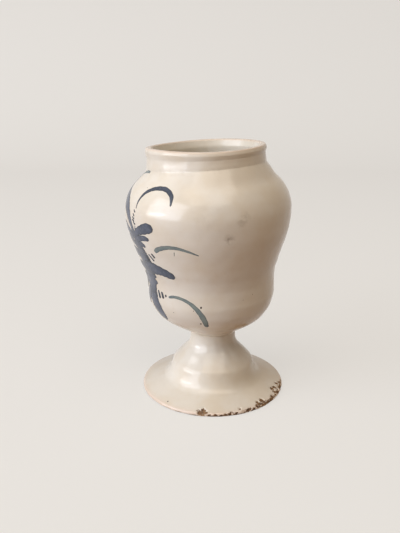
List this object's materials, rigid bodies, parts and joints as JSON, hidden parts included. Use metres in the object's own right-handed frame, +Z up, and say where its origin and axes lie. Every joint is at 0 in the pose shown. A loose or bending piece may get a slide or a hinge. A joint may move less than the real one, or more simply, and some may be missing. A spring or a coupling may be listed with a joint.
{
  "type": "footed apothecary jar",
  "caption": "Tin-glazed earthenware apothecary jar: bellied bowl with a short collar on a hollow pedestal foot, leaning slightly, foot rim chipped.",
  "frame": {"origin": "middle of the jar's footprint on its resting plane, which is the middle of the bounding box's bottom face", "axes": "+Z up, +X to the picture's right, +Y away from the viewer. The bowl leans 2.4 degrees towards -X, so the foot's own axis stands at x = +4.1 mm"},
  "size_m": [0.1238, 0.1238, 0.1916],
  "materials": {
    "clay": "matte, porous, buff biscuit",
    "slip": "matte, buff",
    "glaze": "glossy, warm white tin glaze"
  },
  "bodies": {
    "root": {"thrown_bowl": "clay", "thrown_foot": "clay", "luting_slip": "slip", "outer_glaze": "glaze", "lining_glaze": "glaze"}
  },
  "joints": []
}
